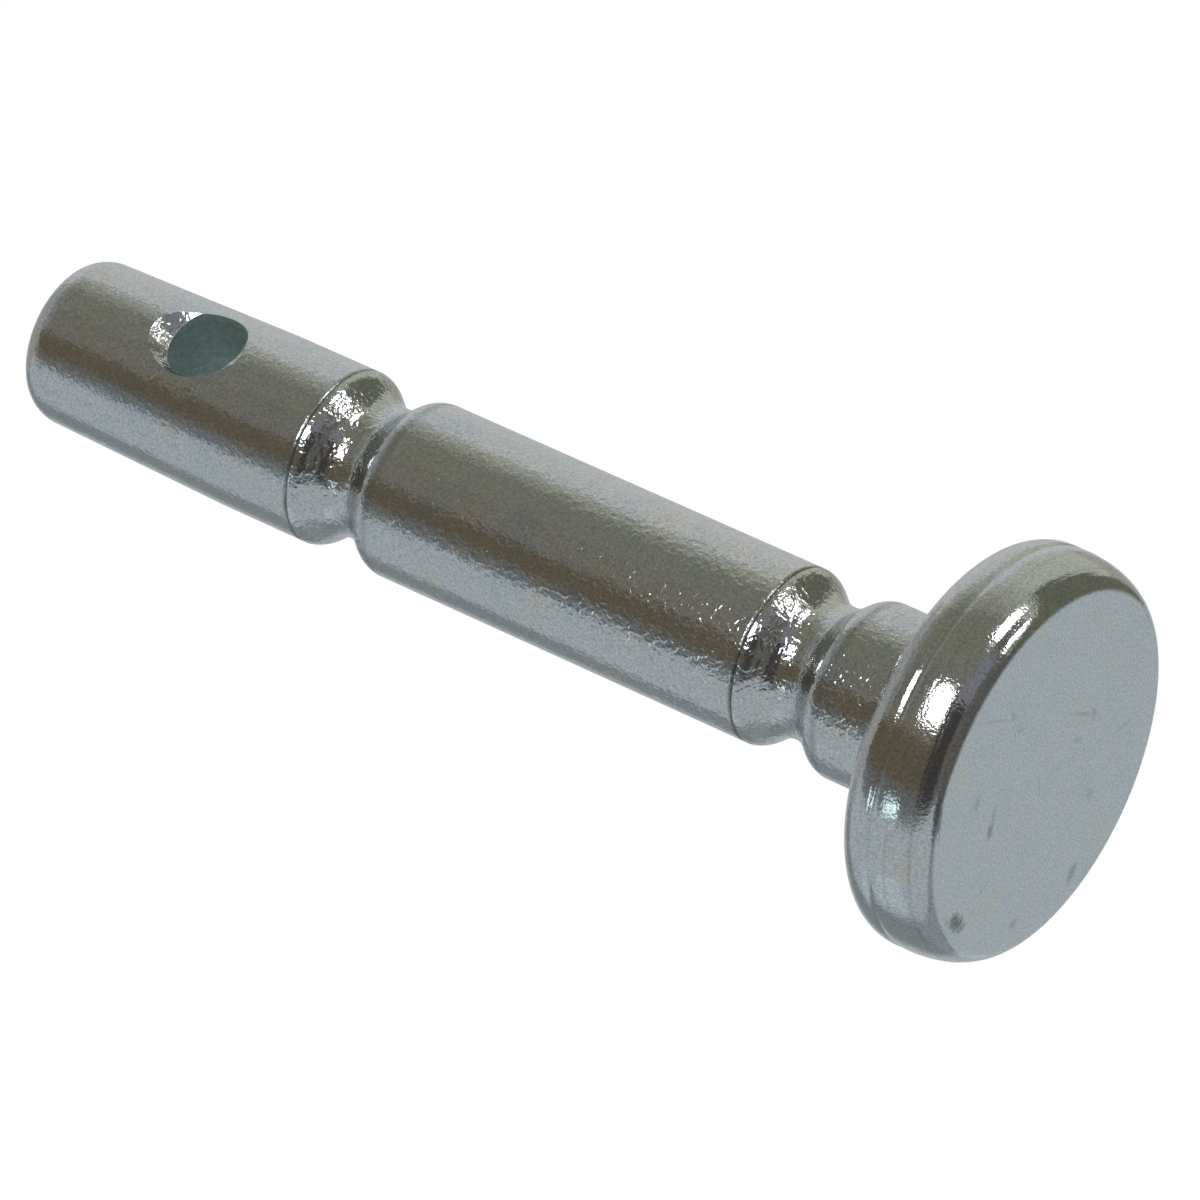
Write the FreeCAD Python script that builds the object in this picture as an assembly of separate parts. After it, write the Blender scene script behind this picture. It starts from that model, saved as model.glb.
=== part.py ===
import FreeCAD, Part
import math
import os

# Headed shear pin: flat round head, plain shank with two rolled shear grooves,
# and a cross hole near the tip for a cotter. One piece, cold headed from wire.
# Millimetres. The pin stands on its head: the head's face lies on z = 0, its
# centre is the origin, +Z runs along the axis to the tip, and the cross hole
# runs along Y.

# Head, in the order that its heights add up
head_diameter = 14.4
face_corner_height = 0.55       # tight rounding beside the flat face, measured along the axis
face_corner_width = 0.62        # the same rounding, measured across
rim_crown_height = 1.39         # gentle swell from there to the widest stretch
rim_crown_width = 0.25
rim_flat_height = 0.16          # widest stretch
seat_round_height = 1.5         # rounding on the shank's side of the head
seat_round_width = 1.15

# Shank, in the order that its lengths add up
shank_diameter = 6.35
first_groove_from_head = 5.35   # under the head to the middle of the groove
groove_spacing = 18.75
hole_from_groove = 6.98         # the second groove's middle to the hole's middle
hole_from_end = 6.72

# Tip
tip_taper_length = 8.6          # last stretch, drawn in slightly when cut off
tip_taper_drop = 0.18           # loss of radius over that stretch
tip_round_height = 1.05         # rounding at the very end, measured along the axis
tip_round_width = 0.92

# Shear grooves, both rolled with the same die
groove_depth = 0.775
groove_wall_angle = 40.0        # degrees between a groove's wall and the shank's surface
groove_floor_radius = 1.33
groove_shoulder_radius = 0.75

# Cross hole
hole_diameter = 2.9
hole_mouth_radius = 0.6
hole_mouth_turn = 48.0          # degrees that a mouth's rounding turns to reach the surface

head_radius = head_diameter / 2
face_round_height = face_corner_height + rim_crown_height
head_thickness = face_round_height + rim_flat_height + seat_round_height
shank_radius = shank_diameter / 2
first_groove_height = head_thickness + first_groove_from_head
second_groove_height = first_groove_height + groove_spacing
hole_height = second_groove_height + hole_from_groove
overall_length = hole_height + hole_from_end
taper_start = overall_length - tip_taper_length

# Half of a groove's opening: half of its floor, one straight wall and one shoulder
groove_radii = groove_floor_radius + groove_shoulder_radius
groove_wall_turn = math.radians(groove_wall_angle)
groove_wall_depth = groove_depth - groove_radii * (1 - math.cos(groove_wall_turn))
groove_wall_run = groove_wall_depth / math.tan(groove_wall_turn)
groove_reach = groove_radii * math.sin(groove_wall_turn) + groove_wall_run


def shank_radius_at(height):
    """The shank's radius at a height, which shrinks along the taper."""
    return shank_radius - tip_taper_drop * max(0.0, height - taper_start) / tip_taper_length


def at(radius, height):
    """A point of a half section, which lies in the XZ plane."""
    return FreeCAD.Vector(radius, 0, height)


def on_circle(centre, radius, angle):
    """A point of a circle in the half section, its angle in degrees from the radial direction."""
    turn = math.radians(angle)
    return centre + at(radius * math.cos(turn), radius * math.sin(turn))


def line(first, last):
    """A straight edge."""
    return Part.LineSegment(first, last).toShape()


def arc(centre, radius, first_angle, last_angle):
    """A round edge about a centre, from one angle in degrees to another."""
    angles = (first_angle, (first_angle + last_angle) / 2, last_angle)
    return Part.Arc(*[on_circle(centre, radius, angle) for angle in angles]).toShape()


def corner_round(start, end, lean=0.0):
    """A round edge that goes inwards from one point of the outline to another.

    lean is the angle in degrees by which the outline already leans inwards at the
    start: 0 leaves an upright wall tangentially. The arc may meet a flat at a slight
    edge, as a corner does that was only upset to shape.
    """
    width = start.x - end.x
    rise = end.z - start.z
    side = math.copysign(1.0, rise)
    half_turn = math.atan2(width, abs(rise)) - math.radians(lean)
    radius = math.hypot(width, rise) / (2 * math.sin(half_turn))
    centre = on_circle(start, -radius, side * lean)
    return arc(centre, radius, side * lean, side * (lean + 2 * math.degrees(half_turn)))


def groove(middle):
    """The edges of a shear groove, from its shoulder on the head side to that on the tip side.

    The round floor runs tangentially into a straight sloping wall on either side,
    and each wall into a round shoulder that runs tangentially out to the shank.
    """
    turn = groove_wall_angle
    floor_centre = at(shank_radius - groove_depth + groove_floor_radius, middle)
    head_centre = at(shank_radius - groove_shoulder_radius, middle - groove_reach)
    tip_centre = at(shank_radius - groove_shoulder_radius, middle + groove_reach)
    return [
        arc(head_centre, groove_shoulder_radius, 0.0, turn),
        line(on_circle(head_centre, groove_shoulder_radius, turn),
             on_circle(floor_centre, groove_floor_radius, 180 + turn)),
        arc(floor_centre, groove_floor_radius, 180 + turn, 180 - turn),
        line(on_circle(floor_centre, groove_floor_radius, 180 - turn),
             on_circle(tip_centre, groove_shoulder_radius, -turn)),
        arc(tip_centre, groove_shoulder_radius, -turn, 0.0),
    ]


def pin_section():
    """The closed half section of the pin, from the axis at the face to the axis at the tip."""
    corner_radius = head_radius - rim_crown_width
    face_edge = at(corner_radius - face_corner_width, 0)
    corner_top = at(corner_radius, face_corner_height)
    crown_lean = 2 * math.degrees(math.atan2(rim_crown_width, rim_crown_height))
    rim_low = at(head_radius, face_round_height)
    rim_high = at(head_radius, face_round_height + rim_flat_height)
    seat_edge = at(head_radius - seat_round_width, head_thickness)
    edges = [
        line(at(0, 0), face_edge),
        corner_round(corner_top, face_edge, crown_lean),
        corner_round(rim_low, corner_top),
        line(rim_low, rim_high),
        corner_round(rim_high, seat_edge),
        line(seat_edge, at(shank_radius, head_thickness)),
    ]
    height = head_thickness
    for middle in (first_groove_height, second_groove_height):
        edges.append(line(at(shank_radius, height), at(shank_radius, middle - groove_reach)))
        edges.extend(groove(middle))
        height = middle + groove_reach

    round_height = overall_length - tip_round_height
    taper_end = at(shank_radius_at(round_height), round_height)
    end_edge = at(taper_end.x - tip_round_width, overall_length)
    edges.append(line(at(shank_radius, height), at(shank_radius, taper_start)))
    edges.append(line(at(shank_radius, taper_start), taper_end))
    edges.append(corner_round(taper_end, end_edge))
    edges.append(line(end_edge, at(0, overall_length)))
    edges.append(line(at(0, overall_length), at(0, 0)))
    return Part.Wire(edges)


def hole_section():
    """The closed half section of what drilling and deburring take out of the shank.

    It is drawn about the hole's own axis with the pin's axis at height 0: a bore
    that flares at both ends. The shank cuts a mouth off wide along the pin and
    narrow across it, as a turned countersink comes out in a round bar.
    """
    surface = shank_radius_at(hole_height)
    turn = math.radians(hole_mouth_turn)
    flare_start = surface - hole_mouth_radius * math.sin(turn)
    flare_centre_radius = hole_diameter / 2 + hole_mouth_radius
    mouth_radius = flare_centre_radius - hole_mouth_radius * math.cos(turn)
    clear_of_shank = surface + hole_mouth_radius
    clear_radius = mouth_radius + hole_mouth_radius * math.tan(turn)
    edges = [line(at(hole_diameter / 2, -flare_start), at(hole_diameter / 2, flare_start))]
    for side in (1, -1):
        edges.append(arc(at(flare_centre_radius, side * flare_start), hole_mouth_radius,
                         180.0, 180.0 - side * hole_mouth_turn))
        edges.append(line(at(mouth_radius, side * surface), at(clear_radius, side * clear_of_shank)))
        edges.append(line(at(clear_radius, side * clear_of_shank), at(0, side * clear_of_shank)))
    edges.append(line(at(0, clear_of_shank), at(0, -clear_of_shank)))
    return Part.Wire(Part.sortEdges(edges)[0])


def turned(section):
    """The solid that a half section makes when it is turned about the Z axis."""
    return Part.Face(section).revolve(FreeCAD.Vector(0, 0, 0), FreeCAD.Vector(0, 0, 1), 360)


def shear_pin():
    """The finished pin as one solid."""
    cutter = turned(hole_section())
    cutter.rotate(FreeCAD.Vector(0, 0, 0), FreeCAD.Vector(1, 0, 0), 90)
    cutter.translate(at(0, hole_height))
    return turned(pin_section()).cut(cutter).Solids[0]


os.makedirs("parts", exist_ok=True)
pin = shear_pin()
pin.exportStep("parts/shear_pin.step")
print("solids", len(pin.Solids), "valid", pin.isValid(), "volume", round(pin.Volume, 2))
box = pin.optimalBoundingBox(False, False)
print("box", round(box.XLength, 3), round(box.YLength, 3), round(box.ZMin, 3), round(box.ZMax, 3))
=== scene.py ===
import math

import bpy
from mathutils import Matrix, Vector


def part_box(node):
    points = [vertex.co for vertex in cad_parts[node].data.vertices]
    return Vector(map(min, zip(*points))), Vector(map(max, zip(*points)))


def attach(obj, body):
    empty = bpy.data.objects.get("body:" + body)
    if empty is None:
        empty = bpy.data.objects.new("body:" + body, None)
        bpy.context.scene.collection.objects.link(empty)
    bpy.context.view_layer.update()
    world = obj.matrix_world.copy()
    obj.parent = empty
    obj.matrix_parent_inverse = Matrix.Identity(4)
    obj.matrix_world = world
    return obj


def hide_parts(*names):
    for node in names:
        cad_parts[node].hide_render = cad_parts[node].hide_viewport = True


bl_info = {
    "name": "Shear Pin",
    "version": (1, 0, 0),
    "blender": (4, 5, 0),
    "location": "View3D > Sidebar > Shear Pin",
    "description": "Models a headed shear pin of zinc-plated steel and sets up a small studio",
    "category": "Add Mesh",
}

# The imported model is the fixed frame: every size below is in metres in its space.
# The pin stands on its head, with its axis on Z, its face on z = 0 and the cross hole along Y.
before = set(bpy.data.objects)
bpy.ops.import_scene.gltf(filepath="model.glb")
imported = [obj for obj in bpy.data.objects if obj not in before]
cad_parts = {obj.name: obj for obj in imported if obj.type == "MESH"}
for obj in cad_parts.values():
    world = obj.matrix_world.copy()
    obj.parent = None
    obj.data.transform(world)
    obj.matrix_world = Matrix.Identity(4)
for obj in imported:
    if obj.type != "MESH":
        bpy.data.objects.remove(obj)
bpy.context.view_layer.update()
pin_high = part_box("shear_pin")[1]

MM = 0.001
FULL_TURN = 2 * math.pi
SAME_PLACE = 1e-6                  # vertices nearer than this are one
SMOOTH_ANGLE = math.radians(34)    # edges that turn further than this stay sharp

# Angles in degrees
GROOVE_WALL = 40    # between a groove's wall and the shank
LIP_EDGE = 11       # at which a groove's shoulder meets the shank on the tip side
BEVEL_SLOPE = 35    # of the countersink's cone
BEVEL_EDGE = 8      # what is left of that slope where the bevel meets the shank
CARD_STEP = 6       # that one face of a card spans

# Spacing of the mesh's rows along the outline, finer where a highlight has to run smoothly
FLAT_ROW = 0.3 * MM
RIM_ROW = 0.05 * MM
WALL_ROW = 0.08 * MM
CREASE_ROW = 0.03 * MM
SHANK_ROW = 0.4 * MM
TAPER_ROW = 0.12 * MM
END_ROW = 0.25 * MM

TOOL_STEPS = 96     # faces round the drill and the countersink
SENSOR_WIDTH = 36   # millimetres

# A mix node has a set of inputs for every kind of value, so they go by number
MIX_FACTOR = 0
MIX_FLOATS = (2, 3)
MIX_COLOURS = (6, 7)
MIXED_FLOAT = 0
MIXED_COLOUR = 2


def linear(hex_colour):
    """Turn an sRGB hex colour into the linear values that Blender uses."""
    channels = [int(hex_colour[i:i + 2], 16) / 255 for i in (1, 3, 5)]
    return [c / 12.92 if c <= 0.04045 else ((c + 0.055) / 1.055) ** 2.4 for c in channels]


def length(name, description, default):
    """A size property in metres, with its default given in millimetres."""
    return bpy.props.FloatProperty(name=name, description=description, default=default * MM,
                                   unit="LENGTH", precision=5)


def colour(name, description, default):
    """A colour property, with its default given as an sRGB hex value."""
    return bpy.props.FloatVectorProperty(name=name, description=description, subtype="COLOR",
                                         default=linear(default), min=0, max=1)


class PinShape(bpy.types.PropertyGroup):
    head_radius: bpy.props.FloatProperty(
        name="Head radius", description="Widest radius of the head", default=pin_high[0],
        unit="LENGTH", precision=5)
    overall_length: bpy.props.FloatProperty(
        name="Overall length", description="From the head's face to the tip's end",
        default=pin_high[2], unit="LENGTH", precision=5)
    face_radius: length("Face radius", "Radius of the head's flat face", 6.32)
    front_round_height: length("Front rounding", "Height of the rounding beside the face", 1.95)
    head_thickness: length("Head thickness", "From the face to the seat under the head", 3.6)
    seat_round_height: length("Seat rounding", "Height of the rounding on the shank's side", 1.2)
    seat_round_width: length("Seat rounding width", "The same rounding, measured across", 1.2)
    neck_fillet: length("Neck fillet", "Radius of the corner between head and shank", 0.25)
    shank_radius: length("Shank radius", "Radius of the plain shank", 3.175)
    first_groove: length("First groove", "Height of the middle of the groove near the head", 8.95)
    second_groove: length("Second groove", "Height of the middle of the groove near the tip", 27.7)
    groove_depth: length("Groove depth", "Depth of both rolled grooves", 0.77)
    floor_radius: length("Groove floor", "Radius of the round floor of a groove", 1.3)
    shoulder_radius: length("Groove shoulder", "Radius where a wall turns to the shank", 0.9)
    groove_reach: length("Groove reach", "From a groove's middle to its lip on the tip side", 1.57)
    head_reach: length("Groove reach to the head", "The same on the side of the head", 1.72)
    lip_depth: length("Lip depth", "Depth of the crease that rolling left at a groove's lip", 0.05)
    lip_width: length("Lip width", "Full width of that crease", 0.16)
    taper_length: length("Taper length", "Stretch over which the tip draws in", 8.6)
    taper_drop: length("Taper drop", "Loss of radius over that stretch", 0.18)
    tip_round_height: length("Tip rounding", "Height of the rounding at the end", 1.05)
    tip_round_width: length("Tip rounding width", "The same rounding, measured across", 0.92)
    hole_height: length("Hole height", "Height of the cross hole's axis", 34.68)
    hole_radius: length("Hole radius", "Radius of the cross hole", 1.45)
    mouth_radius: length("Hole mouth", "Radius of the bevel at the hole's two mouths", 1.95)
    mouth_round: length("Hole mouth rounding", "Radius of the rounding at the bevel's edge", 0.6)
    mouth_offset: length("Hole mouth offset", "How far the bevel lies towards the tip", 0.36)
    mouth_aside: length("Hole mouth aside", "How far it lies to the side, along -X", 0.34)
    steps_round: bpy.props.IntProperty(
        name="Steps round", description="Faces round the pin", default=240, min=24)


class PinFinish(bpy.types.PropertyGroup):
    zinc: colour("Zinc", "Colour of the bright zinc plate", "#BCC0C2")
    zinc_blue: colour("Blue zinc", "Colour where the passivation leaves a bluish film", "#B6BDC1")
    zinc_olive: colour("Olive zinc", "Colour where the film is thinner and yellower", "#BEBEB9")
    # This colour also paints the shade in the creases, corners and rim dips
    grime_and_shade: colour("Grime", "Colour of dirt in pits, specks and scuffs", "#4E4F4F")
    bore_zinc: colour("Zinc in the bore", "Colour of the thin plate in the cross hole", "#C4D4D1")
    face_roughness: bpy.props.FloatProperty(
        name="Face roughness", description="Roughness of the satin face",
        default=0.34, min=0, max=1, subtype="FACTOR")
    bore_roughness: bpy.props.FloatProperty(
        name="Bore roughness", description="Roughness inside the cross hole",
        default=0.6, min=0, max=1, subtype="FACTOR")
    film_size: length("Film size", "Distance between the patches of the bluish film", 1.6)
    dirt_size: length("Dirt size", "Distance between the notches in the dirt's ragged edge", 0.25)
    pit_size: length("Pit size", "Distance between the small pits of the plated surface", 0.24)
    pit_depth: length("Pit depth", "Depth of the pits where the surface is roughest", 0.012)
    grain_size: length("Grain size", "Distance between the grains of the plate, as drawn", 0.09)
    grain_depth: length("Grain depth", "Depth of the fine grain of the plate", 0.006)
    wave_size: length("Wave size", "Distance between the soft waves that forming left", 0.7)
    wave_depth: length("Wave depth", "Height of those waves", 0.012)


class StudioSettings(bpy.types.PropertyGroup):
    camera_place: bpy.props.FloatVectorProperty(
        name="Camera place", description="Where the camera stands", subtype="XYZ", unit="LENGTH",
        default=(-0.1674, -0.2449, -0.1448))
    camera_turn: bpy.props.FloatVectorProperty(
        name="Camera turn", description="The camera's rotation", subtype="EULER", unit="ROTATION",
        default=[math.radians(angle) for angle in (143.2026, 53.0919, 12.7184)])
    lens: bpy.props.FloatProperty(
        name="Lens", description="Focal length in millimetres", default=301.8, min=1)
    floor_colour: colour("Floor", "Colour of the pale floor", "#F4F4F3")
    tent_radius: length("Tent radius", "Distance of the cards from the pin's axis", 600.0)
    tent_height: length("Tent height", "Height of the middle of the tent", 5.0)
    lamp_gap: length("Lamp gap", "How far the lamps stand inside the cards", 10.0)
    floor_size: length("Floor size", "Width and length of the floor", 1600.0)
    floor_drop: length("Floor drop", "How far the floor lies below the pin's face", 0.02)


def deselect():
    """Leave object mode and select nothing."""
    if bpy.context.mode != "OBJECT":
        bpy.ops.object.mode_set(mode="OBJECT")
    bpy.ops.object.select_all(action="DESELECT")


def trace(name, points):
    """Extrude one vertex from point to point of an outline in the XZ plane.

    The outline is a list of (radius, height) pairs in metres. The new object is left in edit mode.
    """
    deselect()
    bpy.ops.mesh.primitive_plane_add(size=MM, location=(0, 0, 0))
    outline = bpy.context.object
    outline.name = name
    outline.data.name = name
    bpy.ops.object.mode_set(mode="EDIT")
    bpy.ops.mesh.select_all(action="SELECT")
    bpy.ops.mesh.merge(type="CENTER")
    bpy.ops.transform.translate(value=(points[0][0], 0, points[0][1]))
    for (r, z), (next_r, next_z) in zip(points, points[1:]):
        bpy.ops.mesh.extrude_vertices_move(
            TRANSFORM_OT_translate={"value": (next_r - r, 0, next_z - z)})
    return outline


def spin_round(steps, angle=FULL_TURN):
    """Spin the outline that is being edited about Z, and close and orient the surface."""
    bpy.ops.mesh.select_all(action="SELECT")
    bpy.ops.mesh.spin(steps=steps, angle=angle, center=(0, 0, 0), axis=(0, 0, 1))
    bpy.ops.mesh.select_all(action="SELECT")
    bpy.ops.mesh.remove_doubles(threshold=SAME_PLACE)
    bpy.ops.mesh.normals_make_consistent(inside=False)
    bpy.ops.object.mode_set(mode="OBJECT")


def run(start, end, step):
    """Evenly spaced points of a straight run, without its first point."""
    span = math.dist(start, end)
    count = max(1, round(span / step))
    return [tuple(a + (b - a) * i / count for a, b in zip(start, end)) for i in range(1, count + 1)]


def curve(centre, across, along, first, last, count):
    """Points of an elliptic arc from one angle to another in degrees, without its first point."""
    angles = [math.radians(first + (last - first) * i / count) for i in range(1, count + 1)]
    return [(centre[0] + across * math.cos(a), centre[1] + along * math.sin(a)) for a in angles]


def groove_side(shape, middle, reach, lean):
    """Half of a rolled groove on its tip side, from the floor out to the shank.

    A round floor turns up into a straight wall, which turns back through a round shoulder.
    The shoulder meets the shank at an edge of lean degrees.
    """
    floor = (shape.shank_radius - shape.groove_depth + shape.floor_radius, middle)
    leaned = math.radians(lean)
    shoulder = (shape.shank_radius - shape.shoulder_radius * math.cos(leaned),
                middle + reach + shape.shoulder_radius * math.sin(leaned))
    points = curve(floor, shape.floor_radius, shape.floor_radius, 180, 180 - GROOVE_WALL, count=16)
    # The wall runs on to where the shoulder has turned by one degree
    first = 1 - GROOVE_WALL
    wall_end = curve(shoulder, shape.shoulder_radius, shape.shoulder_radius, first, first, count=1)
    points += run(points[-1], wall_end[0], WALL_ROW)
    points += curve(shoulder, shape.shoulder_radius, shape.shoulder_radius, first, -lean, count=10)
    return points


def groove_outline(shape, middle):
    """The outline of a whole groove, which ends in a fine crease on the tip side."""
    mirrored = groove_side(shape, middle, shape.head_reach, 0)
    head_side = [(r, 2 * middle - z) for r, z in reversed(mirrored)]
    floor = (shape.shank_radius - shape.groove_depth, middle)
    tip_side = groove_side(shape, middle, shape.groove_reach, LIP_EDGE)
    lip = middle + shape.groove_reach
    crease_end = lip + shape.lip_width
    tip_side.append((shape.shank_radius - shape.lip_depth, lip + shape.lip_width / 2))
    tip_side.append((shape.shank_radius, crease_end))
    tip_side.append((shape.shank_radius, crease_end + CREASE_ROW))
    return head_side + [floor] + tip_side


# Shallow dips round the rim of the head that the heading tools left: height, depth and
# half width in millimetres.
RIM_DIPS = (
    (0.42, 0.006, 0.12),
    (0.62, 0.004, 0.08),
    (1.45, 0.003, 0.10),
    (2.12, 0.034, 0.22),
)


def dipped(point):
    """A point of the rim's outline, let in where one of the dips runs."""
    radius, height = point
    for middle, depth, half_width in RIM_DIPS:
        away = abs(height / MM - middle) / half_width
        if away < 1:
            radius -= depth * MM * (1 + math.cos(math.pi * away)) / 2
    return (radius, height)


def pin_outline(shape):
    """The pin's half section, from the middle of the face to the middle of the tip's end."""
    front_width = shape.head_radius - shape.face_radius
    seat_edge = shape.head_radius - shape.seat_round_width
    seat_start = shape.head_thickness - shape.seat_round_height
    points = [(0, 0)]
    points += run((0, 0), (shape.face_radius, 0), FLAT_ROW)
    rim = curve((shape.face_radius, shape.front_round_height), front_width,
                shape.front_round_height, -90, 0, count=44)
    rim += run(rim[-1], (shape.head_radius, seat_start), RIM_ROW)
    points += [dipped(point) for point in rim]
    points += curve((seat_edge, seat_start), shape.seat_round_width, shape.seat_round_height,
                    0, 90, count=22)
    neck = shape.shank_radius + shape.neck_fillet
    points += run(points[-1], (neck, shape.head_thickness), FLAT_ROW)
    points += curve((neck, shape.head_thickness + shape.neck_fillet), shape.neck_fillet,
                    shape.neck_fillet, -90, -180, count=8)
    for middle in (shape.first_groove, shape.second_groove):
        groove = groove_outline(shape, middle)
        points += run(points[-1], groove[0], SHANK_ROW) + groove[1:]
    taper_start = shape.overall_length - shape.taper_length
    round_start = shape.overall_length - shape.tip_round_height
    end_radius = shape.shank_radius - shape.taper_drop
    points += run(points[-1], (shape.shank_radius, taper_start), SHANK_ROW)
    points += run(points[-1], (end_radius, round_start), TAPER_ROW)
    points += curve((end_radius - shape.tip_round_width, round_start), shape.tip_round_width,
                    shape.tip_round_height, 0, 90, count=18)
    points += run(points[-1], (0, shape.overall_length), END_ROW)
    return points


def turned_tool(name, outline, aside, height):
    """A turned cutting tool that goes across the pin along Y, at a place on X and a height."""
    tool = trace(name, outline)
    spin_round(TOOL_STEPS)
    bpy.ops.object.mode_set(mode="EDIT")
    bpy.ops.mesh.select_all(action="SELECT")
    bpy.ops.transform.rotate(value=math.pi / 2, orient_axis="X", center_override=(0, 0, 0))
    bpy.ops.transform.translate(value=(aside, 0, height))
    return tool


def cut(pin, tool):
    """Take out of the pin what a tool covers, and put the tool away."""
    deselect()
    pin.select_set(True)
    bpy.context.view_layer.objects.active = pin
    cutting = pin.modifiers.new(tool.name, "BOOLEAN")
    cutting.operation = "DIFFERENCE"
    cutting.solver = "EXACT"
    cutting.object = tool
    bpy.ops.object.modifier_apply(modifier=cutting.name)
    bpy.data.objects.remove(tool)


def cut_cross_hole(pin, shape):
    """Drill the cross hole, and bevel its two mouths with a countersink held off centre.

    The round shank cuts the bevel off wide along the pin and narrow across it, and the
    bevel is widest on the side of the tip.
    """
    drawn_in = (shape.hole_height - shape.overall_length + shape.taper_length) / (
        shape.taper_length - shape.tip_round_height)
    surface = shape.shank_radius - shape.taper_drop * drawn_in
    beyond = MM
    top = surface + beyond
    bore = [(0, -top), (shape.hole_radius, -top)]
    bore += run(bore[-1], (shape.hole_radius, top), SHANK_ROW)
    bore.append((0, top))
    cut(pin, turned_tool("drill", bore, 0, shape.hole_height))

    # The cone's slope turns flatter towards its edge, where it meets the shank
    edge = math.radians(BEVEL_EDGE)
    centre = (shape.mouth_radius + shape.mouth_round * math.sin(edge),
              surface - shape.mouth_round * math.cos(edge))
    rounding = curve(centre, shape.mouth_round, shape.mouth_round,
                     91 + BEVEL_SLOPE, 90 + BEVEL_EDGE, count=10)
    # Its narrow end stays just inside the bore all round
    held_off = math.hypot(shape.mouth_offset, shape.mouth_aside)
    inside = 0.05 * MM
    tool_radius = shape.hole_radius - held_off - inside
    depth = (rounding[0][0] - tool_radius) * math.tan(math.radians(BEVEL_SLOPE))
    upper = [(tool_radius, rounding[0][1] - depth)] + rounding
    upper.append((shape.mouth_radius + beyond, top))
    countersink = [(0, -top)] + [(r, -z) for r, z in reversed(upper)] + upper + [(0, top)]
    cut(pin, turned_tool("countersink", countersink, -shape.mouth_aside,
                         shape.hole_height + shape.mouth_offset))


def add_node(tree, kind, settings=None, values=None):
    """Add a node, set its options, and set or link its inputs.

    settings maps option names to their values. values maps input names or numbers
    to a constant, or to a socket of another node that feeds it.
    """
    node = tree.nodes.new(kind)
    for name, value in (settings or {}).items():
        setattr(node, name, value)
    for name, value in (values or {}).items():
        if isinstance(value, bpy.types.NodeSocket):
            tree.links.new(value, node.inputs[name])
        else:
            node.inputs[name].default_value = value
    return node


# Finish along the pin: height in millimetres, roughness, and how pitted the surface is.
ZONES = (
    (0.00, 0.10, 0.04),
    (2.60, 0.10, 0.12),
    (3.80, 0.14, 0.80),
    (7.00, 0.14, 0.90),
    (7.60, 0.13, 0.95),
    (10.2, 0.13, 0.95),
    (10.8, 0.14, 0.90),
    (15.0, 0.14, 0.80),
    (20.0, 0.15, 0.50),
    (26.0, 0.15, 0.50),
    (26.5, 0.13, 0.95),
    (29.0, 0.13, 0.95),
    (29.6, 0.16, 0.40),
    (40.0, 0.16, 0.35),
    (41.3, 0.22, 0.40),
)

# Painted shade in creases, corners and dips round the pin: height and half width in millimetres,
# strength.
PAINTED_SHADE_LINES = (
    (0.62, 0.10, 0.22),
    (1.45, 0.08, 0.15),
    (2.12, 0.10, 0.15),
    (3.66, 0.20, 0.45),
    (7.24, 0.22, 0.40),
    (10.60, 0.13, 0.85),
    (25.99, 0.22, 0.40),
    (29.35, 0.13, 0.85),
)

# Scuffs and small dents on the head's face: place, half length and half width in millimetres,
# turn in degrees and how dark they are.
FACE_MARKS = (
    (-5.62, 1.86, 0.58, 0.30, 60, 0.75),
    (-3.27, -0.30, 0.32, 0.16, 110, 0.50),
    (-2.98, -0.72, 0.42, 0.14, 115, 0.25),
    (-3.64, -2.10, 0.36, 0.18, 115, 0.22),
    (2.76, -0.20, 0.26, 0.14, 80, 0.28),
    (2.20, -0.75, 0.75, 0.08, 45, 0.22),
    (0.46, 5.45, 0.42, 0.24, 140, 0.38),
    (-2.86, 4.71, 0.22, 0.18, 20, 0.30),
    (1.72, 0.07, 0.28, 0.12, 45, 0.20),
    (1.96, 3.03, 0.26, 0.18, 100, 0.20),
    (-1.24, -3.94, 0.24, 0.16, 60, 0.20),
    (-1.02, -3.10, 0.22, 0.14, 45, 0.18),
    (-0.52, 0.24, 0.50, 0.06, 100, 0.18),
    (4.20, 1.76, 0.60, 0.06, 12, 0.20),
    (-2.26, -4.70, 1.10, 0.06, 39, 0.16),
    (-5.60, -3.20, 0.80, 0.15, 105, 0.60),
)


def line_at(tree, height, middle, half_width, strength):
    """A mask that is strongest at one height in millimetres and fades on both sides of it."""
    away = add_node(tree, "ShaderNodeMath", {"operation": "SUBTRACT"}, {
        0: height, 1: middle}).outputs[0]
    away = add_node(tree, "ShaderNodeMath", {"operation": "ABSOLUTE"}, {0: away}).outputs[0]
    return add_node(tree, "ShaderNodeMapRange", values={
        "Value": away, "From Min": half_width, "From Max": 0.0,
        "To Min": 0.0, "To Max": strength}).outputs[0]


def blot(tree, mm, ragged, place, half_size, turn, strength):
    """A mask for a soft-edged ragged spot, as strong in its middle as strength says."""
    local = add_node(tree, "ShaderNodeMapping", {"vector_type": "TEXTURE"}, {
        "Vector": mm, "Location": (*place, 0), "Rotation": (0, 0, math.radians(turn)),
        "Scale": (*half_size, 0.5)}).outputs[0]
    away = add_node(tree, "ShaderNodeVectorMath", {"operation": "LENGTH"}, {
        0: local}).outputs["Value"]
    away = add_node(tree, "ShaderNodeMath", {"operation": "ADD"}, {0: away, 1: ragged}).outputs[0]
    return add_node(tree, "ShaderNodeMapRange", values={
        "Value": away, "From Min": 1.3, "From Max": 0.4,
        "To Min": 0.0, "To Max": strength}).outputs[0]


def strongest(tree, masks):
    """Join masks by taking the greatest of them everywhere."""
    joined = masks[0]
    for mask in masks[1:]:
        joined = add_node(tree, "ShaderNodeMath", {"operation": "MAXIMUM"}, {
            0: joined, 1: mask}).outputs[0]
    return joined


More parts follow.
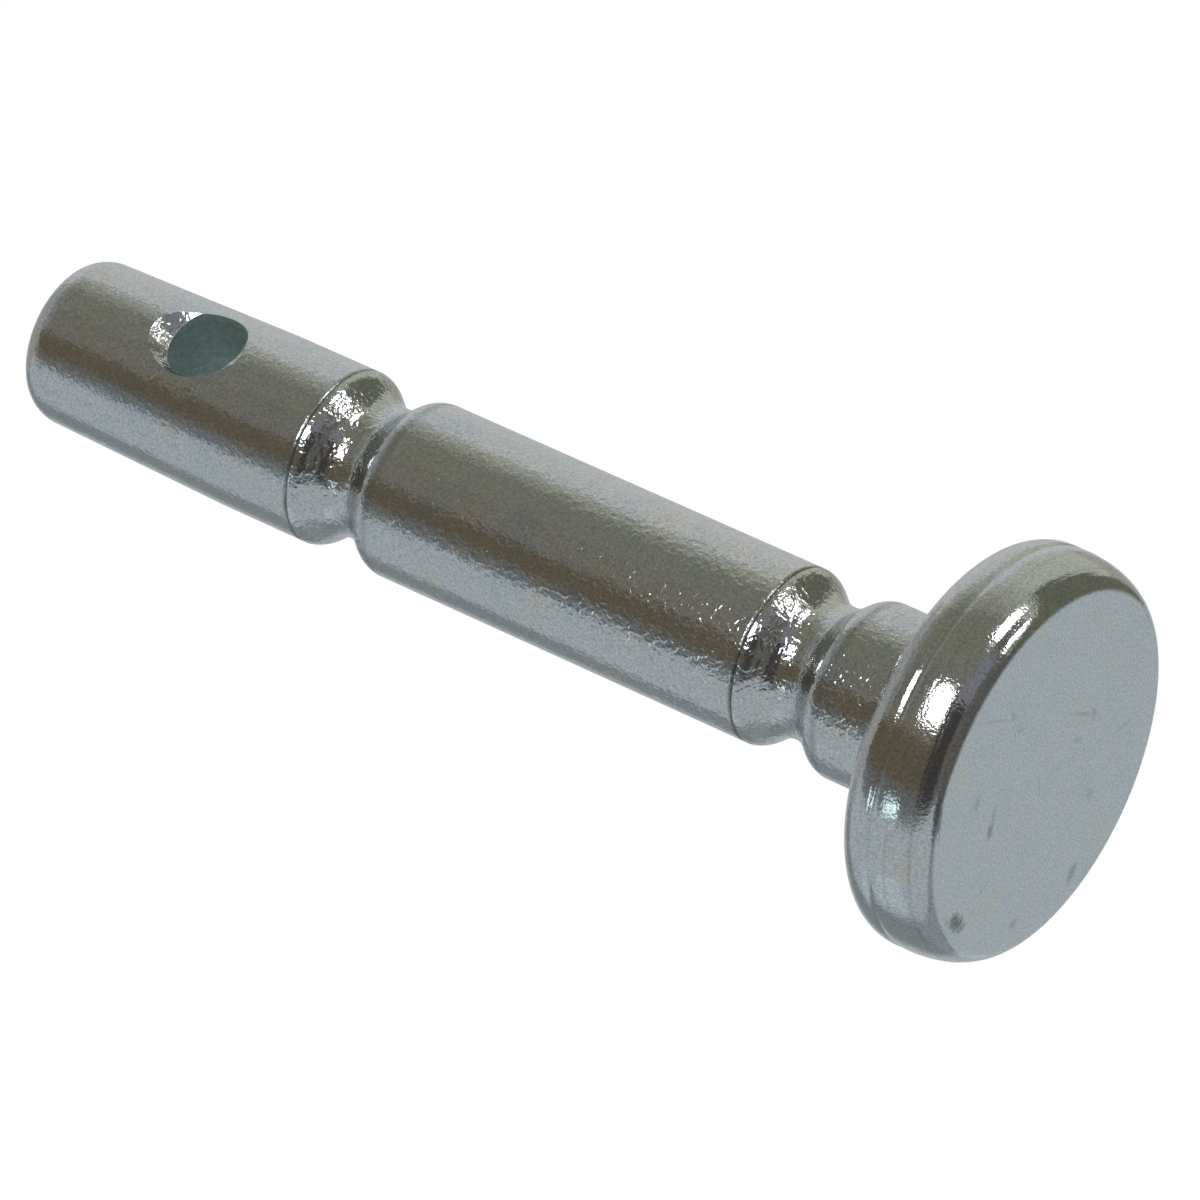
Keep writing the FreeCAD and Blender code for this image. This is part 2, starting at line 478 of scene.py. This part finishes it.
def zinc_plated_steel(shape, finish):
    """Bright zinc plate on cold-headed wire.

    The thin electroplated layer follows every pit and lap of the formed wire under it, so the
    shank is shiny but uneven and sparkles where it curves, and its clear passivation gives a
    faint bluish tone. The face that the header's punch struck is flatter and satin. Dirt stays
    in the scuffs, shade is painted into the creases and corners, and the plate is thin and dull
    inside the cross hole.
    """
    material = bpy.data.materials.new("zinc_plated_steel")
    material.use_nodes = True
    tree = material.node_tree
    tree.nodes.clear()
    place = add_node(tree, "ShaderNodeTexCoord").outputs["Object"]
    # From here on the pattern space is in millimetres
    mm = add_node(tree, "ShaderNodeMapping", {"vector_type": "POINT"},
                  {"Vector": place, "Scale": (1 / MM,) * 3}).outputs[0]
    axes = add_node(tree, "ShaderNodeSeparateXYZ", values={0: mm})
    height = axes.outputs["Z"]

    patches = add_node(tree, "ShaderNodeTexNoise", values={
        "Vector": mm, "Scale": MM / finish.film_size, "Detail": 4.0,
        "Roughness": 0.65}).outputs["Fac"]
    film = add_node(tree, "ShaderNodeValToRGB", values={0: patches})
    film.color_ramp.elements[0].position = 0.36
    film.color_ramp.elements[0].color = (*finish.zinc_blue, 1)
    film.color_ramp.elements[1].position = 0.66
    film.color_ramp.elements[1].color = (*finish.zinc_olive, 1)
    bright = film.color_ramp.elements.new(0.5)
    bright.color = (*finish.zinc, 1)

    pits = add_node(tree, "ShaderNodeTexNoise", values={
        "Vector": mm, "Scale": MM / finish.pit_size, "Detail": 1.0,
        "Roughness": 0.6}).outputs["Fac"]
    pimples = add_node(tree, "ShaderNodeMapRange", {"interpolation_type": "SMOOTHSTEP"}, {
        "Value": pits, "From Min": 0.42, "From Max": 0.72,
        "To Min": 0.0, "To Max": 1.0}).outputs[0]
    # The plate's own crystals are micrometres across, which is too fine to show, so its grain
    # is drawn as coarse as a sparkle that can be seen
    grain = add_node(tree, "ShaderNodeTexNoise", values={
        "Vector": mm, "Scale": MM / finish.grain_size, "Detail": 1.0}).outputs["Fac"]
    shade = add_node(tree, "ShaderNodeMapRange", values={
        "Value": grain, "From Min": 0.25, "From Max": 0.75,
        "To Min": 0.78, "To Max": 1.22}).outputs[0]
    grained = add_node(tree, "ShaderNodeMix", {"data_type": "RGBA", "blend_type": "MULTIPLY"}, {
        MIX_FACTOR: 1.0, MIX_COLOURS[0]: film.outputs[0],
        MIX_COLOURS[1]: shade}).outputs[MIXED_COLOUR]

    # Dirt in deep pits and in the scuffs on the face, and painted shade in the crease and at the
    # edge of each groove, under the head and in the rim's dips
    ragged = add_node(tree, "ShaderNodeTexNoise", values={
        "Vector": mm, "Scale": MM / finish.dirt_size, "Detail": 3.0,
        "Roughness": 0.7}).outputs["Fac"]
    patchy = add_node(tree, "ShaderNodeMapRange", values={
        "Value": patches, "From Min": 0.35, "From Max": 0.6,
        "To Min": 0.45, "To Max": 1.0}).outputs[0]
    lines = [line_at(tree, height, *row) for row in PAINTED_SHADE_LINES]
    painted_crease_shade = add_node(tree, "ShaderNodeMath", {"operation": "MULTIPLY"}, {
        0: strongest(tree, lines), 1: patchy}).outputs[0]
    specks = add_node(tree, "ShaderNodeMapRange", values={
        "Value": pits, "From Min": 0.68, "From Max": 0.78,
        "To Min": 0.0, "To Max": 0.25}).outputs[0]
    jagged = add_node(tree, "ShaderNodeMapRange", values={
        "Value": ragged, "From Min": 0.3, "From Max": 0.7,
        "To Min": -0.5, "To Max": 0.5}).outputs[0]
    marks = [blot(tree, mm, jagged, row[:2], row[2:4], row[4], row[5]) for row in FACE_MARKS]
    # One mask for real dirt and painted shade together: it darkens the colour towards grime and
    # dulls the roughness
    dirt_and_shade = strongest(tree, [specks, painted_crease_shade] + marks)
    dirt_and_shade_colour = add_node(tree, "ShaderNodeMix", {"data_type": "RGBA"}, {
        MIX_FACTOR: dirt_and_shade, MIX_COLOURS[0]: grained,
        MIX_COLOURS[1]: (*finish.grime_and_shade, 1)}).outputs[MIXED_COLOUR]

    # Inside the cross hole, measured from the hole's axis
    above = add_node(tree, "ShaderNodeMath", {"operation": "SUBTRACT"}, {
        0: height, 1: shape.hole_height / MM}).outputs[0]
    across = add_node(tree, "ShaderNodeCombineXYZ", values={
        "X": axes.outputs["X"], "Z": above}).outputs[0]
    off_axis = add_node(tree, "ShaderNodeVectorMath", {"operation": "LENGTH"}, {
        0: across}).outputs["Value"]
    bore_edge = shape.hole_radius / MM
    in_bore = add_node(tree, "ShaderNodeMapRange", values={
        "Value": off_axis, "From Min": bore_edge + 0.02, "From Max": bore_edge + 0.005,
        "To Min": 0.0, "To Max": 1.0}).outputs[0]
    bore_dirt = add_node(tree, "ShaderNodeMapRange", values={
        "Value": ragged, "From Min": 0.4, "From Max": 0.7,
        "To Min": 0.0, "To Max": 0.25}).outputs[0]
    bore = add_node(tree, "ShaderNodeMix", {"data_type": "RGBA"}, {
        MIX_FACTOR: bore_dirt, MIX_COLOURS[0]: (*finish.bore_zinc, 1),
        MIX_COLOURS[1]: (*finish.grime_and_shade, 1)}).outputs[MIXED_COLOUR]
    plated = add_node(tree, "ShaderNodeMix", {"data_type": "RGBA"}, {
        MIX_FACTOR: in_bore, MIX_COLOURS[0]: dirt_and_shade_colour,
        MIX_COLOURS[1]: bore}).outputs[MIXED_COLOUR]

    waves = add_node(tree, "ShaderNodeTexNoise", values={
        "Vector": mm, "Scale": MM / finish.wave_size, "Detail": 2.0}).outputs["Fac"]

    # Roughness and pitting change along the pin, from zone to zone
    along = add_node(tree, "ShaderNodeMath", {"operation": "DIVIDE"}, {
        0: height, 1: pin_high[2] / MM}).outputs[0]
    zones = []
    for column in (1, 2):
        zone = add_node(tree, "ShaderNodeValToRGB", values={0: along})
        stops = zone.color_ramp.elements
        stops.remove(stops[1])
        stops[0].color = (ZONES[0][column],) * 3 + (1,)
        for row in ZONES[1:]:
            stop = stops.new(row[0] * MM / pin_high[2])
            stop.color = (row[column],) * 3 + (1,)
        zones.append(zone.outputs[0])
    polish, pitting = zones
    dulled = add_node(tree, "ShaderNodeMapRange", values={
        "Value": dirt_and_shade, "From Min": 0.0, "From Max": 1.0,
        "To Min": 0.0, "To Max": 0.3}).outputs[0]
    dull = add_node(tree, "ShaderNodeMath", {"operation": "ADD"}, {0: polish, 1: dulled}).outputs[0]
    on_face = add_node(tree, "ShaderNodeMapRange", values={
        "Value": height, "From Min": 0.06, "From Max": 0.02,
        "To Min": 0.0, "To Max": 1.0}).outputs[0]
    satin = add_node(tree, "ShaderNodeMix", {"data_type": "FLOAT"}, {
        MIX_FACTOR: on_face, MIX_FLOATS[0]: dull,
        MIX_FLOATS[1]: finish.face_roughness}).outputs[MIXED_FLOAT]
    rough = add_node(tree, "ShaderNodeMix", {"data_type": "FLOAT"}, {
        MIX_FACTOR: in_bore, MIX_FLOATS[0]: satin,
        MIX_FLOATS[1]: finish.bore_roughness}).outputs[MIXED_FLOAT]

    # The bevel round the hole is more pitted than the shank beside it
    at_mouth = add_node(tree, "ShaderNodeMapRange", values={
        "Value": off_axis, "From Min": bore_edge + 1.0, "From Max": bore_edge + 0.7,
        "To Min": 0.0, "To Max": 0.7}).outputs[0]
    pitting = strongest(tree, [pitting, at_mouth])
    pitted = add_node(tree, "ShaderNodeMath", {"operation": "MULTIPLY"}, {
        0: pimples, 1: pitting}).outputs[0]
    frosted = add_node(tree, "ShaderNodeBump", values={
        "Distance": finish.grain_depth, "Height": grain}).outputs[0]
    lumps = add_node(tree, "ShaderNodeBump", values={
        "Distance": finish.pit_depth, "Height": pitted, "Normal": frosted}).outputs[0]
    uneven = add_node(tree, "ShaderNodeBump", values={
        "Distance": finish.wave_depth, "Height": waves, "Normal": lumps}).outputs[0]

    metal = add_node(tree, "ShaderNodeBsdfPrincipled", values={
        "Base Color": plated, "Metallic": 1.0, "Roughness": rough, "Normal": uneven})
    add_node(tree, "ShaderNodeOutputMaterial", values={"Surface": metal.outputs[0]})
    return material


class SHEARPIN_OT_add_pin(bpy.types.Operator):
    """Model the shear pin and give it its zinc finish"""
    bl_idname = "mesh.add_shear_pin"
    bl_label = "Add shear pin"

    def execute(self, context):
        shape = context.scene.shear_pin_shape
        pin = trace("plated_pin", pin_outline(shape))
        spin_round(shape.steps_round)
        cut_cross_hole(pin, shape)
        deselect()
        pin.select_set(True)
        context.view_layer.objects.active = pin
        bpy.ops.object.shade_smooth_by_angle(angle=SMOOTH_ANGLE)
        pin.data.materials.append(zinc_plated_steel(shape, context.scene.shear_pin_finish))
        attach(pin, "root")
        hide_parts("shear_pin")
        return {"FINISHED"}


def plain_light(name, card_colour, strength):
    """An even glow of one colour, as a lit sheet of card gives."""
    material = bpy.data.materials.new(name)
    material.use_nodes = True
    tree = material.node_tree
    tree.nodes.clear()
    glow = add_node(tree, "ShaderNodeEmission", values={
        "Color": (*linear(card_colour), 1), "Strength": strength})
    add_node(tree, "ShaderNodeOutputMaterial", values={"Surface": glow.outputs[0]})
    return material


def add_card(studio, radius, name, first, last, low, high, card_colour, strength=1.0):
    """Stand a curved card round the pin, from one azimuth and elevation to another in degrees.

    Only the metal sees it, as a studio's cards stand outside the picture.
    """
    count = max(1, round((high - low) / CARD_STEP))
    start = (radius * math.cos(math.radians(low)),
             studio.tent_height + radius * math.sin(math.radians(low)))
    card = trace(name, [start] + curve((0, studio.tent_height), radius, radius, low, high, count))
    steps = max(1, round((last - first) / CARD_STEP))
    spin_round(steps, math.radians(last - first))
    bpy.ops.object.mode_set(mode="EDIT")
    bpy.ops.mesh.select_all(action="SELECT")
    bpy.ops.transform.rotate(value=-math.radians(last), orient_axis="Z", center_override=(0, 0, 0))
    deselect()
    card.data.materials.append(plain_light(name, card_colour, strength))
    card.visible_camera = False
    card.visible_diffuse = False
    card.visible_shadow = False


# Cards round the pin: name, azimuths and elevations in degrees, and colour.
CARDS = (
    ("front card", -38, 20, 24, 62, "#DEDFDE"),
    ("front low card", -38, 20, 0, 24, "#D0D1C2"),
    ("front end card", 20, 40, 24, 62, "#D0D1D0"),
    ("front end low card", 20, 40, 0, 24, "#B0B1A6"),
    ("front floor card", -38, 40, -60, 0, "#7C7C6C"),
    ("pale card", -50, -38, -60, 62, "#BCBDB1"),
    ("pale olive card", -60, -50, -16, 62, "#A6A697"),
    ("side card", 40, 85, 0, 62, "#C0C6C8"),
    ("face card", 40, 85, -60, 0, "#D3DCE1"),
    ("limb card", 85, 120, 0, 62, "#999FA1"),
    ("limb low card", 85, 120, -60, 0, "#A5ACAF"),
    ("sky card", 120, 180, -60, 62, "#C9D0D4"),
    ("sky bright card", 126, 146, 4, 24, "#E0E7EC"),
    ("edge card", 180, 189, -60, 62, "#8A8F91"),
    ("shade card", 189, 199, -16, 62, "#7E7F7C"),
    ("brown card", 199, 226, -16, 62, "#756A59"),
    ("black card", 189, 250, -44, -16, "#524C4C"),
    ("dusk card", 226, 262, -16, 44, "#89847A"),
    ("between card", 250, 285, -44, -16, "#96949C"),
    ("olive card", 262, 300, -16, 44, "#8E8E7F"),
    ("right low card", 285, 310, -44, -16, "#6F6F66"),
    ("high card", 226, 300, 44, 62, "#9C9C95"),
    ("low card", 189, 310, -60, -44, "#77756C"),
    ("nadir card", 0, 360, -90, -60, "#6E6E6A"),
    ("top card", 0, 360, 62, 90, "#B6B6B3"),
)

# Small lamps: name, azimuths and elevations in degrees, colour and strength.
LAMPS = (
    ("left lamp", -125, -107, -11, 11, "#FFFFFF", 8.0),
    ("right lamp", -70, -49, -19, -9, "#FFFFFF", 8.0),
    ("right low lamp", -64, -42, -46, -32, "#FFFFFF", 4.0),
    ("strip lamp", -178, -170, 8, 20, "#EAFFFF", 2.0),
)


def floor_material(floor_colour):
    """A pale matt floor that is only seen from above, so that it hides nothing from below."""
    material = bpy.data.materials.new("pale matt floor")
    material.use_nodes = True
    tree = material.node_tree
    tree.nodes.clear()
    seen = add_node(tree, "ShaderNodeLightPath").outputs["Is Camera Ray"]
    below = add_node(tree, "ShaderNodeNewGeometry").outputs["Backfacing"]
    above = add_node(tree, "ShaderNodeMath", {"operation": "SUBTRACT", "use_clamp": True},
                     {0: seen, 1: below}).outputs[0]
    clear = add_node(tree, "ShaderNodeBsdfTransparent").outputs[0]
    matt = add_node(tree, "ShaderNodeBsdfDiffuse", values={"Color": (*floor_colour, 1)}).outputs[0]
    mix = add_node(tree, "ShaderNodeMixShader", values={0: above, 1: clear, 2: matt}).outputs[0]
    add_node(tree, "ShaderNodeOutputMaterial", values={"Surface": mix})
    return material


class SHEARPIN_OT_add_stage(bpy.types.Operator):
    """Set up the camera, the floor, the white surroundings, the cards and the lamps"""
    bl_idname = "scene.add_shear_pin_stage"
    bl_label = "Add studio"

    def execute(self, context):
        studio = context.scene.shear_pin_studio
        deselect()
        bpy.ops.object.camera_add(location=studio.camera_place, rotation=studio.camera_turn)
        camera = context.object
        camera.data.lens = studio.lens
        camera.data.sensor_width = SENSOR_WIDTH
        camera.data.clip_start = 10 * MM
        context.scene.camera = camera
        context.scene.view_settings.view_transform = "Standard"

        world = bpy.data.worlds.new("white surroundings")
        world.use_nodes = True
        background = world.node_tree.nodes["Background"]
        background.inputs["Color"].default_value = (1, 1, 1, 1)
        background.inputs["Strength"].default_value = 1.0
        context.scene.world = world

        deselect()
        bpy.ops.mesh.primitive_plane_add(size=studio.floor_size,
                                         location=(0, 0, -studio.floor_drop))
        floor = context.object
        floor.name = "floor"
        floor.data.materials.append(floor_material(studio.floor_colour))

        for card in CARDS:
            add_card(studio, studio.tent_radius, *card)
        for lamp in LAMPS:
            add_card(studio, studio.tent_radius - studio.lamp_gap, *lamp)
        return {"FINISHED"}


class SHEARPIN_PT_panel(bpy.types.Panel):
    """Lists what builds the pin and its studio"""
    bl_label = "Shear Pin"
    bl_idname = "SHEARPIN_PT_panel"
    bl_space_type = "VIEW_3D"
    bl_region_type = "UI"
    bl_category = "Shear Pin"

    def draw(self, context):
        for operator in (SHEARPIN_OT_add_pin, SHEARPIN_OT_add_stage):
            self.layout.operator(operator.bl_idname)
        for group in ("shear_pin_shape", "shear_pin_finish", "shear_pin_studio"):
            settings = getattr(context.scene, group)
            for name in settings.__annotations__:
                self.layout.prop(settings, name)


CLASSES = (PinShape, PinFinish, StudioSettings, SHEARPIN_OT_add_pin, SHEARPIN_OT_add_stage,
           SHEARPIN_PT_panel)


def register():
    for cls in CLASSES:
        bpy.utils.register_class(cls)
    bpy.types.Scene.shear_pin_shape = bpy.props.PointerProperty(type=PinShape)
    bpy.types.Scene.shear_pin_finish = bpy.props.PointerProperty(type=PinFinish)
    bpy.types.Scene.shear_pin_studio = bpy.props.PointerProperty(type=StudioSettings)


def unregister():
    del bpy.types.Scene.shear_pin_shape
    del bpy.types.Scene.shear_pin_finish
    del bpy.types.Scene.shear_pin_studio
    for cls in reversed(CLASSES):
        bpy.utils.unregister_class(cls)


def main():
    register()
    bpy.ops.mesh.add_shear_pin()
    bpy.ops.scene.add_shear_pin_stage()


if __name__ == "__main__":
    main()
